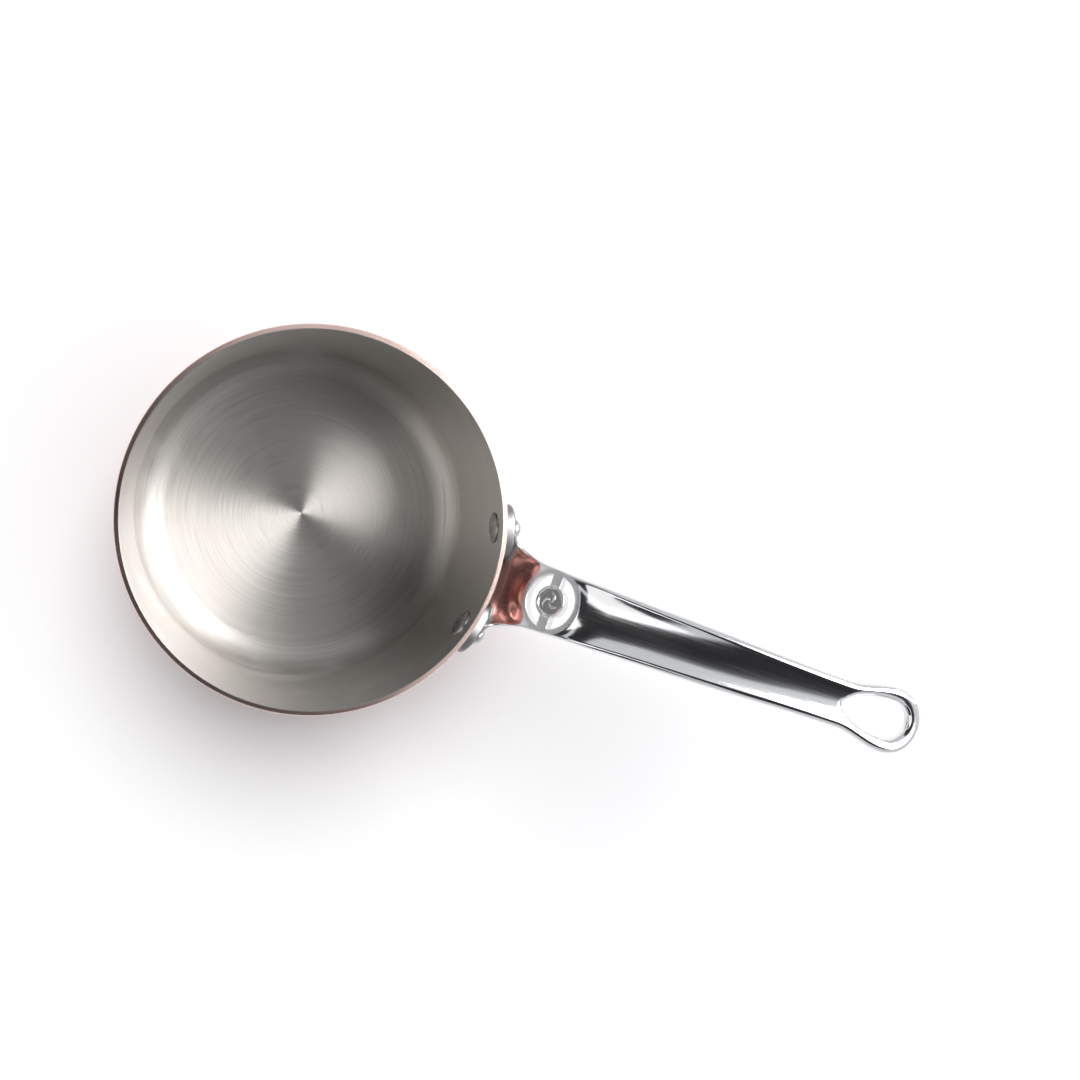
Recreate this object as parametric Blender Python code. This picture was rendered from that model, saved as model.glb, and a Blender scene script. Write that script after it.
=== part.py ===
"""A copper saucepan with a riveted cast steel handle, modelled in Blender.

Frame: +Z up, the pan's own axis on Z, the handle along +X. The origin is the centre of the
base's underside, so the pan stands on z = 0. Every size below is in metres.
"""
import math

import bmesh
import bpy

# ---- driving dimensions -------------------------------------------------------------------
PAN_OUTER_R = 0.0823        # outside of the copper wall
PAN_HEIGHT = 0.090          # underside of the base to the flat rim
COPPER_T = 0.0016           # copper layer
LINING_T = 0.0004           # stainless layer bonded inside it
CLEARANCE = 0.0003          # gap left between faces that touch on the real pan
BASE_FILLET_R = 0.0170      # outside radius between base and wall
PAN_SEGMENTS = 80
FILLET_STEPS = 7

RIVET_ANGLE = math.radians(16.6)    # each rivet's bearing either side of the handle
RIVET_Z = 0.0770
SHANK_R = 0.0030
RIVET_HEAD_R = 0.0069       # low head inside the pan
RIVET_HEAD_H = 0.0014
RIVET_TAIL_R = 0.0043       # button closed over the ear
RIVET_TAIL_H = 0.0038

SADDLE_T = 0.0055           # thickness of the ears that lie on the wall
SADDLE_CHAMFER = 0.0012
EAR_REACH = 0.0109          # how far each ear runs past its rivet, round the wall
EAR_HALF_H = 0.0076         # half of an ear's height
SADDLE_MID_R = PAN_OUTER_R + SADDLE_T / 2       # where arc lengths round the saddle are taken
SADDLE_COLUMNS = 32
MIDDLE_TOP, MIDDLE_BOTTOM = 0.0690, 0.0635      # the saddle's height behind the handle's root

ROOT_X = 0.0840             # where the handle's top line starts, inside the saddle
EYE_X, EYE_Z = 0.1052, 0.0980       # centre of the round boss on the top line
RISE_ROOT = math.radians(50.0)      # slope of the straight root, through the boss
RISE_STEM = math.radians(26.0)      # slope where the stem starts
RISE_TIP = math.radians(9.5)        # slope at the hanging loop
BEND_R = 0.040              # top line's radius between root and stem
EYE_FLAT = 0.0115           # straight run past the boss centre
HANDLE_REACH = 0.2558       # x of the loop's far end

HUB_R = 0.0071              # round boss between the two slots
SLOT_OUTER_R = 0.0121
BRIDGE_HALF_W = 0.0025      # webs that join the boss to the handle
RECESS_R = 0.0060           # sunk face of the boss
RECESS_DEPTH = 0.0006

LOOP_R = 0.0140             # round end of the hanging loop
HOLE_R = 0.0082             # round end of its hole
HOLE_LENGTH = 0.0285
EDGE_R = 0.0022             # rounding along the handle's top edges
ROOT_GUTTER = 0.0034        # hollow between the wall and the boss
RIM_RISE = 0.0090           # how far the root's two sides stand up where they meet the ears
RIM_RUN = 0.0170
STEM_GUTTER = 0.0016        # shallow hollow along the stem's top
LOOP_T = 0.0068

STEM_STATIONS = 30
TOP_POINTS, EDGE_POINTS, SIDE_POINTS, BOTTOM_POINTS, WALL_POINTS = 6, 3, 4, 4, 3
FLANK_STATIONS, ROUND_STATIONS = 8, 9


# ---- small helpers ------------------------------------------------------------------------
def smoothstep(t):
    t = min(1.0, max(0.0, t))
    return t * t * (3.0 - 2.0 * t)


def through(stations, s):
    """A smooth curve through (position, value) pairs, level at none of them but the ends."""
    if s <= stations[0][0]:
        return stations[0][1]
    if s >= stations[-1][0]:
        return stations[-1][1]
    slopes = []
    for i in range(len(stations)):
        a, b = stations[max(0, i - 1)], stations[min(len(stations) - 1, i + 1)]
        slopes.append((b[1] - a[1]) / (b[0] - a[0]))
    for i in range(len(stations) - 1):
        (s0, v0), (s1, v1) = stations[i], stations[i + 1]
        if s <= s1:
            h = s1 - s0
            t = (s - s0) / h
            return (
                v0 * (1 + 2 * t) * (1 - t) ** 2
                + v1 * t * t * (3 - 2 * t)
                + h * slopes[i] * t * (1 - t) ** 2
                + h * slopes[i + 1] * t * t * (t - 1)
            )
    return stations[-1][1]


def material(name, colour, roughness, metallic=1.0):
    mat = bpy.data.materials.new(name)
    mat.use_nodes = True
    shader = mat.node_tree.nodes["Principled BSDF"]
    shader.inputs["Base Color"].default_value = (*colour, 1.0)
    shader.inputs["Roughness"].default_value = roughness
    shader.inputs["Metallic"].default_value = metallic
    return mat


def add_object(name, bm, mat=None, sharp_deg=35.0):
    """Links bm as a new object, faces out, shaded smooth with its real edges kept sharp."""
    bmesh.ops.recalc_face_normals(bm, faces=bm.faces[:])
    mesh = bpy.data.meshes.new(name)
    bm.to_mesh(mesh)
    bm.free()
    mesh.shade_smooth()
    mesh.set_sharp_from_angle(angle=math.radians(sharp_deg))
    obj = bpy.data.objects.new(name, mesh)
    bpy.context.scene.collection.objects.link(obj)
    if mat:
        mesh.materials.append(mat)
    return obj


def add_cutter(name, bm):
    obj = add_object(name, bm)
    obj.hide_render = True
    obj.display_type = "WIRE"
    return obj


def boolean(target, other, operation):
    mod = target.modifiers.new(operation.title() + " " + other.name, "BOOLEAN")
    mod.operation = operation
    mod.object = other
    mod.solver = "EXACT"
    return mod


def turned(profile, segments):
    """bmesh of a closed (radius, z) outline turned about Z; a point on the axis is shared."""
    bm = bmesh.new()
    rings = []
    for radius, z in profile:
        if radius < 1e-7:
            rings.append([bm.verts.new((0.0, 0.0, z))])
            continue
        turns = [2 * math.pi * i / segments for i in range(segments)]
        rings.append([bm.verts.new((radius * math.cos(t), radius * math.sin(t), z)) for t in turns])
    for a, b in zip(rings, rings[1:] + rings[:1]):
        if len(a) == 1 and len(b) == 1:
            continue
        for i in range(segments):
            j = (i + 1) % segments
            corners = [a[i % len(a)], a[j % len(a)], b[j % len(b)], b[i % len(b)]]
            bm.faces.new(list(dict.fromkeys(corners)))
    return bm


# ---- the pan ------------------------------------------------------------------------------
def cup_side(radius, base_z, fillet_r):
    """(radius, z) points of one face of the cup, from the axis out along the base and up."""
    points = [(0.0, base_z), (radius - fillet_r, base_z)]
    for i in range(1, FILLET_STEPS + 1):
        turn = math.pi / 2 * i / FILLET_STEPS
        points.append(
            (radius - fillet_r + fillet_r * math.sin(turn), base_z + fillet_r * (1 - math.cos(turn)))
        )
    return points + [(radius, PAN_HEIGHT)]


def cup(outer_r, base_z, thickness, fillet_r):
    outside = cup_side(outer_r, base_z, fillet_r)
    inside = cup_side(outer_r - thickness, base_z + thickness, fillet_r - thickness)
    return turned(outside + inside[::-1], PAN_SEGMENTS)


def rivet_frame(side):
    """Location and Z rotation that set a part made along +X onto a rivet's bearing."""
    return (0.0, 0.0, RIVET_Z), (0.0, 0.0, side * RIVET_ANGLE)


def along_x(profile, segments):
    """A turned outline of (radius, x) points, with its axis laid along +X."""
    bm = turned(profile, segments)
    for v in bm.verts:
        v.co = (v.co.z, v.co.y, -v.co.x)
    return bm


def add_rivet_drill(side, name):
    """Clears the shank all the way through, and the tail from the ear's face outwards."""
    near, far = PAN_OUTER_R - 0.012, PAN_OUTER_R + 0.025
    face = PAN_OUTER_R + CLEARANCE + SADDLE_T
    shank_r, tail_r = SHANK_R + CLEARANCE, RIVET_TAIL_R + CLEARANCE
    outline = [(0, near), (shank_r, near), (shank_r, face), (tail_r, face), (tail_r, far), (0, far)]
    drill = add_cutter(name, along_x(outline, 28))
    drill.location, drill.rotation_euler = rivet_frame(side)
    return drill


def make_pan(drills):
    copper = material("copper", (0.80, 0.42, 0.32), 0.18)
    steel = material("brushed_steel", (0.66, 0.64, 0.61), 0.30)
    shell = add_object("copper_shell", cup(PAN_OUTER_R, 0.0, COPPER_T, BASE_FILLET_R), copper)
    step = COPPER_T + CLEARANCE
    lining = add_object(
        "steel_lining", cup(PAN_OUTER_R - step, step, LINING_T, BASE_FILLET_R - step), steel
    )
    for drill in drills:
        boolean(shell, drill, "DIFFERENCE")
        boolean(lining, drill, "DIFFERENCE")


# ---- the rivets ---------------------------------------------------------------------------
def dome(rim_r, height, base_x, direction, steps):
    """(radius, x) points of a low dome from its rim to its crown."""
    points = [(rim_r, base_x), (rim_r, base_x + direction * height * 0.25)]
    for i in range(1, steps + 1):
        turn = math.pi / 2 * i / steps
        points.append(
            (rim_r * math.cos(turn), base_x + direction * height * (0.25 + 0.75 * math.sin(turn)))
        )
    points[-1] = (0.0, points[-1][1])
    return points


def make_rivet(name, side):
    lining_r = PAN_OUTER_R - COPPER_T - CLEARANCE - LINING_T
    head_x = math.sqrt(lining_r**2 - RIVET_HEAD_R**2) - CLEARANCE
    tail_x = PAN_OUTER_R + CLEARANCE + SADDLE_T + CLEARANCE
    head = dome(RIVET_HEAD_R, RIVET_HEAD_H, head_x, -1, 5)
    tail = dome(RIVET_TAIL_R, RIVET_TAIL_H, tail_x, 1, 5)
    outline = head[::-1] + [(SHANK_R, head_x), (SHANK_R, tail_x)] + tail
    rivet = add_object(name, along_x(outline, 28), material(name, (0.62, 0.61, 0.60), 0.25))
    rivet.location, rivet.rotation_euler = rivet_frame(side)


# ---- the handle's top line ----------------------------------------------------------------
class TopLine:
    """The handle's top centre line in the XZ plane, by arc length from its start."""

    def __init__(self):
        cos, sin = math.cos(RISE_ROOT), math.sin(RISE_ROOT)
        self.eye_s = (EYE_X - ROOT_X) / cos
        self.bend_s = self.eye_s + EYE_FLAT
        self.stem_s = self.bend_s + BEND_R * (RISE_ROOT - RISE_STEM)
        self.start = (ROOT_X, EYE_Z - self.eye_s * sin)
        self.stem_x = (
            ROOT_X + self.bend_s * cos + BEND_R * (math.sin(RISE_ROOT) - math.sin(RISE_STEM))
        )
        self.stem_r = (HANDLE_REACH - self.stem_x) / (math.sin(RISE_STEM) - math.sin(RISE_TIP))
        self.length = self.stem_s + self.stem_r * (RISE_STEM - RISE_TIP)

    def at(self, s):
        """(x, z, slope) at arc length s."""
        x, z = self.start
        run = min(s, self.bend_s)
        x, z, slope = x + run * math.cos(RISE_ROOT), z + run * math.sin(RISE_ROOT), RISE_ROOT
        for begin, end, radius in (
            (self.bend_s, self.stem_s, BEND_R),
            (self.stem_s, self.length, self.stem_r),
        ):
            if s > begin:
                turned_slope = slope - (min(s, end) - begin) / radius
                x += radius * (math.sin(slope) - math.sin(turned_slope))
                z += radius * (math.cos(turned_slope) - math.cos(slope))
                slope = turned_slope
        return x, z, slope


LINE = TopLine()
LOOP_S = LINE.length - LOOP_R           # centre of the loop's round end
FORK_S = LINE.length - (LOOP_R - HOLE_R) - HOLE_LENGTH      # where the hole starts
LEAN_RUN = 0.014    # run over which the sections lean from upright to square with the line

HALF_WIDTH = (
    (0.0, 0.0240),
    (0.006, 0.0212),
    (0.013, 0.0179),
    (0.021, 0.0156),
    (LINE.eye_s, 0.0146),
    (LINE.stem_s, 0.0134),
    (0.110, 0.0120),
    (0.140, 0.0107),
    (FORK_S, 0.0102),
)
THICKNESS = (
    (0.0, 0.0085),
    (0.016, 0.0052),
    (LINE.eye_s, 0.0042),
    (LINE.bend_s, 0.0050),
    (LINE.stem_s + 0.012, 0.0078),
    (0.120, 0.0078),
    (FORK_S, LOOP_T),
)


def place(s, y, height):
    """The point at arc length s and side distance y, height above the top line."""
    x, z, slope = LINE.at(s)
    lean = slope * smoothstep(s / LEAN_RUN)
    return (x - height * math.sin(lean), y, z + height * math.cos(lean))


def gutter(s, y, half_width):
    """Depth of the hollow in the top: deep at the root, none on the boss, shallow on the stem."""
    away = math.hypot(s - LINE.eye_s, y)
    if s < LINE.eye_s:
        depth = ROOT_GUTTER * smoothstep((away - SLOT_OUTER_R - 0.0012) / 0.0040)
    else:
        depth = STEM_GUTTER * smoothstep((away - SLOT_OUTER_R - 0.0030) / 0.0100)
        depth *= 1.0 - smoothstep((s - FORK_S + 0.030) / 0.030)
    reach = min(1.0, abs(y) / (half_width - EDGE_R))
    return depth * (1.0 - reach**2.6)


def stem_section(s):
    """(y, height) points of the +Y half, from the top centre out and round to the bottom."""
    w, t = through(HALF_WIDTH, s), through(THICKNESS, s)
    rise = RIM_RISE * (1 - smoothstep(s / RIM_RUN))
    points = []
    for i in range(TOP_POINTS):
        reach = i / TOP_POINTS
        y = (w - EDGE_R) * reach
        points.append((y, rise * reach**3 - gutter(s, y, w)))
    for i in range(EDGE_POINTS + 1):
        turn = math.pi / 2 * i / EDGE_POINTS
        drop = EDGE_R * (1 - math.cos(turn))
        points.append((w - EDGE_R + EDGE_R * math.sin(turn), rise - drop))
    drop, pull = 0.75 * t - EDGE_R, 0.35 * w
    for i in range(1, SIDE_POINTS + 1):
        turn = math.pi / 2 * i / SIDE_POINTS
        points.append((w - pull * (1 - math.cos(turn)), -EDGE_R - drop * math.sin(turn)))
    for i in range(1, BOTTOM_POINTS + 1):
        reach = 1 - i / BOTTOM_POINTS
        points.append(((w - pull) * reach, -0.75 * t - 0.25 * t * (1 - reach**2)))
    return points


def bead_section():
    """(across, height) points of the loop's rounded bar, in the same order, in units of its
    width and thickness. The last few close the section along the hole's wall."""
    counts = (TOP_POINTS, EDGE_POINTS + SIDE_POINTS, BOTTOM_POINTS, WALL_POINTS + 1)
    corners = (135.0, 45.0, -45.0, -135.0, -225.0)
    points = []
    for count, begin, end in zip(counts, corners, corners[1:]):
        for i in range(count):
            turn = math.radians(begin + (end - begin) * i / count)
            c, s = math.cos(turn), math.sin(turn)
            round_off = (abs(c) ** 2.6 + abs(s) ** 2.6) ** (-1 / 2.6)
            points.append((0.5 + 0.5 * c * round_off, -0.5 + 0.5 * s * round_off))
    return points


def loop_edges():
    """((s, y) on the hole, (s, y) on the outline, share) pairs from the fork to the far end."""
    pairs = []
    run = LOOP_S - FORK_S
    for i in range(FLANK_STATIONS):
        share = (i / FLANK_STATIONS) ** 1.6
        s = FORK_S + run * share
        hole_y = HOLE_R * (1 - (1 - share) ** 2) ** 0.62
        outer_y = HALF_WIDTH[-1][1] + (LOOP_R - HALF_WIDTH[-1][1]) * smoothstep(share)
        pairs.append(((s, hole_y), (s, outer_y), share))
    for i in range(ROUND_STATIONS + 1):
        turn = math.pi / 2 * (1 - i / ROUND_STATIONS)
        c, n = math.cos(turn), math.sin(turn)
        if i == ROUND_STATIONS:
            n = 0.0
        pairs.append(
            ((LOOP_S + HOLE_R * c, HOLE_R * n), (LOOP_S + LOOP_R * c, LOOP_R * n), 1.0)
        )
    return pairs


def loop_sections():
    """3-D sections of the +Y half of the loop, each a closed ring of points."""
    first = stem_section(FORK_S)
    width = HALF_WIDTH[-1][1]
    bottom = first[-1][1]
    wall = [(0.0, bottom * (1 - i / (WALL_POINTS + 1))) for i in range(1, WALL_POINTS + 1)]
    fork = [(y / width, h / LOOP_T) for y, h in first + wall]
    bead = bead_section()
    sections = []
    for hole, outer, share in loop_edges():
        blend = smoothstep(share / 0.4)
        ring = []
        for (fork_q, fork_h), (bead_q, bead_h) in zip(fork, bead):
            q = fork_q + (bead_q - fork_q) * blend
            h = (fork_h + (bead_h - fork_h) * blend) * LOOP_T
            s = hole[0] + (outer[0] - hole[0]) * q
            y = hole[1] + (outer[1] - hole[1]) * q
            ring.append(place(s, y, h))
        sections.append(ring)
    return sections


def handle_body():
    """bmesh of the +Y half of the handle, mirrored and joined along its middle."""
    bm = bmesh.new()
    stem = []
    for i in range(STEM_STATIONS + 1):
        s = FORK_S * i / STEM_STATIONS
        stem.append([bm.verts.new(place(s, y, h)) for y, h in stem_section(s)])
    for a, b in zip(stem, stem[1:]):
        for j in range(len(a) - 1):
            bm.faces.new((a[j], b[j], b[j + 1], a[j + 1]))
    bm.faces.new(stem[0])
    rings = [[bm.verts.new(point) for point in ring] for ring in loop_sections()]
    for a, b in zip(rings, rings[1:]):
        for j in range(len(a)):
            k = (j + 1) % len(a)
            bm.faces.new((a[j], b[j], b[k], a[k]))
    copied = bmesh.ops.duplicate(bm, geom=bm.verts[:] + bm.edges[:] + bm.faces[:])["geom"]
    for v in (g for g in copied if isinstance(g, bmesh.types.BMVert)):
        v.co.y = -v.co.y
    bmesh.ops.remove_doubles(bm, verts=bm.verts[:], dist=1e-6)
    inner = [f for f in bm.faces if all(abs(v.co.y) < 1e-7 for v in f.verts)]
    bmesh.ops.delete(bm, geom=inner, context="FACES")
    return bm


# ---- the handle's saddle and cuts ---------------------------------------------------------
def saddle_span(arc):
    """(bottom, top) of the saddle at an arc length round the wall from the handle's middle."""
    past = abs(arc) - RIVET_ANGLE * SADDLE_MID_R
    if past > 0:
        half = EAR_HALF_H * math.sqrt(max(0.0, 1 - (past / EAR_REACH) ** 2))
        return RIVET_Z - half, RIVET_Z + half
    ear = smoothstep((abs(arc) - 0.0125) / (RIVET_ANGLE * SADDLE_MID_R - 0.0125))
    bottom = MIDDLE_BOTTOM + (RIVET_Z - EAR_HALF_H - MIDDLE_BOTTOM) * ear
    return bottom, MIDDLE_TOP + (RIVET_Z + EAR_HALF_H - MIDDLE_TOP) * ear


def saddle():
    """bmesh of the winged plate that lies on the wall: columns of points round the pan."""
    half_arc = RIVET_ANGLE * SADDLE_MID_R + EAR_REACH
    inner_r = PAN_OUTER_R + CLEARANCE
    outer_r = inner_r + SADDLE_T
    layers = ((inner_r, 0.0), (outer_r - SADDLE_CHAMFER, 0.0), (outer_r, SADDLE_CHAMFER))
    bm = bmesh.new()
    columns = []
    for i in range(SADDLE_COLUMNS + 1):
        arc = -half_arc * math.cos(math.pi * i / SADDLE_COLUMNS)
        bottom, top = saddle_span(arc * 0.9995)
        column = []
        for radius, inset in layers:
            bearing = arc * (1 - inset / half_arc) / SADDLE_MID_R
            keep = max(0.1, 1 - 2 * inset / max(1e-6, top - bottom))
            middle, half = (top + bottom) / 2, (top - bottom) / 2 * keep
            x, y = radius * math.cos(bearing), radius * math.sin(bearing)
            column.append([bm.verts.new((x, y, middle - half)), bm.verts.new((x, y, middle + half))])
        columns.append([column[k][0] for k in (0, 1, 2)] + [column[k][1] for k in (2, 1, 0)])
    for a, b in zip(columns, columns[1:]):
        for j in range(len(a)):
            k = (j + 1) % len(a)
            bm.faces.new((a[j], b[j], b[k], a[k]))
    bm.faces.new(columns[0])
    bm.faces.new(columns[-1])
    return bm


def eye_prism(outline, low, high):
    """Extrudes a (along, across) outline square to the boss, between two heights."""
    bm = bmesh.new()
    rings = []
    for height in (low, high):
        rings.append([bm.verts.new(eye_point(a, y, height)) for a, y in outline])
    n = len(outline)
    for i in range(n):
        bm.faces.new((rings[0][i], rings[0][(i + 1) % n], rings[1][(i + 1) % n], rings[1][i]))
    for ring in rings:
        bm.faces.new(ring)
    return bm


def eye_point(along, across, height):
    cos, sin = math.cos(RISE_ROOT), math.sin(RISE_ROOT)
    return (EYE_X + along * cos - height * sin, across, EYE_Z + along * sin + height * cos)


def slot_outline(side):
    """One C-shaped slot beside the boss: side +1 towards the tip, -1 towards the pan."""
    points = []
    for radius, step in ((SLOT_OUTER_R, 1), (HUB_R, -1)):
        half = math.pi / 2 - math.asin(BRIDGE_HALF_W / radius)
        for i in range(13):
            turn = step * (-half + 2 * half * i / 12)
            points.append((side * radius * math.cos(turn), radius * math.sin(turn)))
    return points


def circle_outline(radius, count):
    turns = [2 * math.pi * i / count for i in range(count)]
    return [(radius * math.cos(t), radius * math.sin(t)) for t in turns]


def make_handle(drills):
    steel = material("cast_steel", (0.70, 0.70, 0.70), 0.12)
    handle = add_object("cast_handle", handle_body(), steel)
    boolean(handle, add_cutter("saddle_form", saddle()), "UNION")
    for name, side in (("slot_outboard", 1), ("slot_inboard", -1)):
        cutter = add_cutter(name, eye_prism(slot_outline(side), -0.02, 0.01))
        boolean(handle, cutter, "DIFFERENCE")
    recess = eye_prism(circle_outline(RECESS_R, 28), -RECESS_DEPTH, 0.01)
    boolean(handle, add_cutter("boss_recess", recess), "DIFFERENCE")
    for drill in drills:
        boolean(handle, drill, "DIFFERENCE")


def main():
    for obj in list(bpy.data.objects):
        bpy.data.objects.remove(obj)
    sides = (("rivet_right", 1), ("rivet_left", -1))
    drills = [add_rivet_drill(side, name + "_drill") for name, side in sides]
    make_pan(drills)
    make_handle(drills)
    for name, side in sides:
        make_rivet(name, side)


main()
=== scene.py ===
"""The looks of a copper saucepan with a riveted cast steel handle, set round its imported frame.

Laid out as an add-on: one operator makes each group of pieces, one makes the studio, and the
sizes and colours a user would change are properties. Frame: +Z up, the pan's axis on Z, the
handle along +X, lengths in metres.
"""

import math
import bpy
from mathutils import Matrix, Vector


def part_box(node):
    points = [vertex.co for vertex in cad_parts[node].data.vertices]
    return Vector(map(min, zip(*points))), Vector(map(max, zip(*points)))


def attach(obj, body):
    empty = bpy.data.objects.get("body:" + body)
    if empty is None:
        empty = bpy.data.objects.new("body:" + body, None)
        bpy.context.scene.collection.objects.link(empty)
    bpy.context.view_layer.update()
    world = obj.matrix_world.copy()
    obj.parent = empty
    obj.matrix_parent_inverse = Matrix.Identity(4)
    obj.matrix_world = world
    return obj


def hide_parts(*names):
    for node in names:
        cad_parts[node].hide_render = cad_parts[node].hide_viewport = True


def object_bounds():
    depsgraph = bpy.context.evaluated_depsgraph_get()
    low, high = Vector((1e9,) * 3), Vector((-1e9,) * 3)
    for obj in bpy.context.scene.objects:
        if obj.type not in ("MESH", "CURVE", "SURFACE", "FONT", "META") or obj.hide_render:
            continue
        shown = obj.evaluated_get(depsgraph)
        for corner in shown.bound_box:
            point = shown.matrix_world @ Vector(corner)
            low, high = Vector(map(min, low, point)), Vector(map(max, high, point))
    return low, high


bl_info = {
    "name": "Copper Saucepan",
    "version": (1, 0, 0),
    "blender": (4, 5, 0),
    "location": "3D View > Sidebar > Saucepan",
    "description": "Makes a brush-lined copper saucepan with its cast handle, and a studio for it",
    "category": "Object",
}

import bmesh
import bpy
import numpy as np
from bpy.props import FloatProperty, FloatVectorProperty, IntProperty, PointerProperty
from mathutils import Matrix, Vector

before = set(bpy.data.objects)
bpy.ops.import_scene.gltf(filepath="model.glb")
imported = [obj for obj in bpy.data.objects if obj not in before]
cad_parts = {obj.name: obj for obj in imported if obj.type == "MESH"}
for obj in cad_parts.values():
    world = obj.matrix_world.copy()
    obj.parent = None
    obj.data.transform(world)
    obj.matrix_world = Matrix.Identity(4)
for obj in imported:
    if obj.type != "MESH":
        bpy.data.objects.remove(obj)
CAD_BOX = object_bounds()
_, PAN_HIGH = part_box("copper_shell")
_, HANDLE_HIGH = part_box("cast_handle")

SADDLE_GAP = 0.0003     # between the wall and the saddle, as in the frame
TIP_LEAN = 0.0007       # the leaning end of the loop stands this far past its top line
QUARTER_TURN = 0.25     # turns stretched highlights across the lines of a brushed face


# ---- properties ---------------------------------------------------------------------------
def length(name, default, description):
    return FloatProperty(
        name=name, description=description, default=default, min=0.0, unit="LENGTH", precision=5
    )


def angle(name, degrees, description):
    return FloatProperty(
        name=name, description=description, default=math.radians(degrees), subtype="ANGLE"
    )


def colour(name, default, description):
    return FloatVectorProperty(
        name=name, description=description, default=default, min=0.0, max=1.0, subtype="COLOR"
    )


class SaucepanPan(bpy.types.PropertyGroup):
    """Sizes and colours of the two-layer pan."""

    radius: length("Outer radius", PAN_HIGH.x, "Outside of the copper wall")
    height: length("Height", PAN_HIGH.z, "Underside of the base to the cut rim")
    copper: length("Copper", 0.00186, "Thickness of the copper layer")
    lining: length("Lining", 0.00042, "Thickness of the steel layer")
    fillet: length("Base rounding", 0.0170, "Outside radius between base and wall")
    edge: length("Rim edge", 0.00028, "Small chamfer left on the cut rim")
    segments: IntProperty(name="Segments", description="Steps round the pan", default=288, min=32)
    copper_colour: colour("Copper colour", (0.66, 0.30, 0.25), "Polished copper")
    lining_colour: colour("Lining colour", (0.52, 0.494, 0.466), "Brushed steel inside")


class SaucepanHandle(bpy.types.PropertyGroup):
    """Sizes and colour of the cast handle."""

    reach: length(
        "Reach", HANDLE_HIGH.x - TIP_LEAN, "Far end of the top line from the pan's axis"
    )
    root_x: length("Root", 0.0840, "Where the handle's top line leaves the wall")
    boss_x: length("Boss X", 0.1052, "Centre of the round boss")
    boss_z: length("Boss Z", 0.0980, "Centre of the round boss")
    rise_root: angle("Root slope", 50.0, "Slope of the straight root, through the boss")
    rise_stem: angle("Stem slope", 26.0, "Slope where the stem starts")
    rise_tip: angle("Tip slope", 9.5, "Slope at the hanging loop")
    bend: length("Bend radius", 0.040, "Radius of the top line between root and stem")
    flat: length("Boss flat", 0.0115, "Straight run past the centre of the boss")
    hub: length("Hub radius", 0.0071, "Round hub between the two slots")
    slot: length("Slot radius", 0.0121, "Outer radius of the two slots")
    bridge: length("Bridge half width", 0.0025, "Webs that hold the hub")
    recess: length("Recess radius", 0.0056, "Sunk floor of the hub")
    satin: length("Satin radius", 0.0148, "Satin ground left round the slots")
    loop: length("Loop radius", 0.0140, "Round end of the hanging loop")
    hole: length("Hole radius", 0.0082, "Round end of its hole")
    hole_length: length("Hole length", 0.0285, "Length of the hole")
    grain: length("Mesh grain", 0.00045, "Spacing of the mesh points")
    steel_colour: colour("Steel colour", (0.80, 0.80, 0.805), "Polished cast steel")


class SaucepanRivets(bpy.types.PropertyGroup):
    """Sizes and colour of the two rivets and the saddle they hold."""

    bearing: angle("Bearing", 16.6, "Each rivet's bearing either side of the handle")
    height: length("Height", 0.0770, "Height of the rivets above the base")
    head: length("Head radius", 0.0069, "Low head inside the pan")
    head_rise: length("Head rise", 0.0015, "How far the head stands off the lining")
    tail: length("Tail radius", 0.0043, "Button closed over the ear")
    tail_rise: length("Tail rise", 0.0040, "How far the button stands off the ear")
    saddle: length("Saddle thickness", 0.0055, "Thickness of the ears on the wall")
    steel_colour: colour("Rivet colour", (0.55, 0.545, 0.54), "Satin rivet steel")


class SaucepanStudio(bpy.types.PropertyGroup):
    """The floor, the light and the camera."""

    floor_size: length("Floor size", 6.0, "Side of the square floor")
    floor_colour: colour("Floor colour", (0.93, 0.93, 0.93), "Pale floor")
    surround: FloatProperty(
        name="Surround", description="Strength of the white surround", default=0.72, min=0.0
    )
    card_bearing: angle("Card bearing", 135.0, "Direction of the dark card's long side")
    lens: FloatProperty(
        name="Lens", description="Focal length in millimetres", default=33.72, min=1.0
    )
    shift: FloatProperty(name="Shift", description="Sideways shift of the lens", default=0.08)


# ---- small helpers ------------------------------------------------------------------------
def settings(context):
    """The sizes of the pan, the handle and the rivets."""
    scene = context.scene
    return scene.saucepan_pan, scene.saucepan_handle, scene.saucepan_rivets


def smoothstep(t):
    """Eases from 0 to 1 as t goes from 0 to 1."""
    t = np.clip(t, 0.0, 1.0)
    return t * t * (3.0 - 2.0 * t)


def add_mesh(name, mesh, material):
    """Links a mesh as a piece of the saucepan that moves with its body."""
    mesh.materials.append(material)
    piece = bpy.data.objects.new(name, mesh)
    bpy.context.scene.collection.objects.link(piece)
    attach(piece, "root")
    return piece


def from_bmesh(name, bm, sharp=math.radians(30)):
    """A smooth shaded mesh with sharp edges where faces meet at more than `sharp`."""
    bmesh.ops.recalc_face_normals(bm, faces=bm.faces[:])
    mesh = bpy.data.meshes.new(name)
    bm.to_mesh(mesh)
    bm.free()
    mesh.shade_smooth()
    mesh.set_sharp_from_angle(angle=sharp)
    return mesh


def turned(profile, segments):
    """bmesh of a closed (radius, z) outline turned about Z."""
    bm = bmesh.new()
    turns = [2 * math.pi * i / segments for i in range(segments)]
    on_axis = 1e-7
    rings = []
    for radius, z in profile:
        if radius < on_axis:
            ring = [(0.0, 0.0, z)]
        else:
            ring = [(radius * math.cos(t), radius * math.sin(t), z) for t in turns]
        rings.append([bm.verts.new(point) for point in ring])
    for a, b in zip(rings, rings[1:] + rings[:1]):
        if len(a) == len(b) == 1:
            continue
        for i in range(segments):
            j = (i + 1) % segments
            corners = [a[i % len(a)], a[j % len(a)], b[j % len(b)], b[i % len(b)]]
            bm.faces.new(list(dict.fromkeys(corners)))
    return bm


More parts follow.
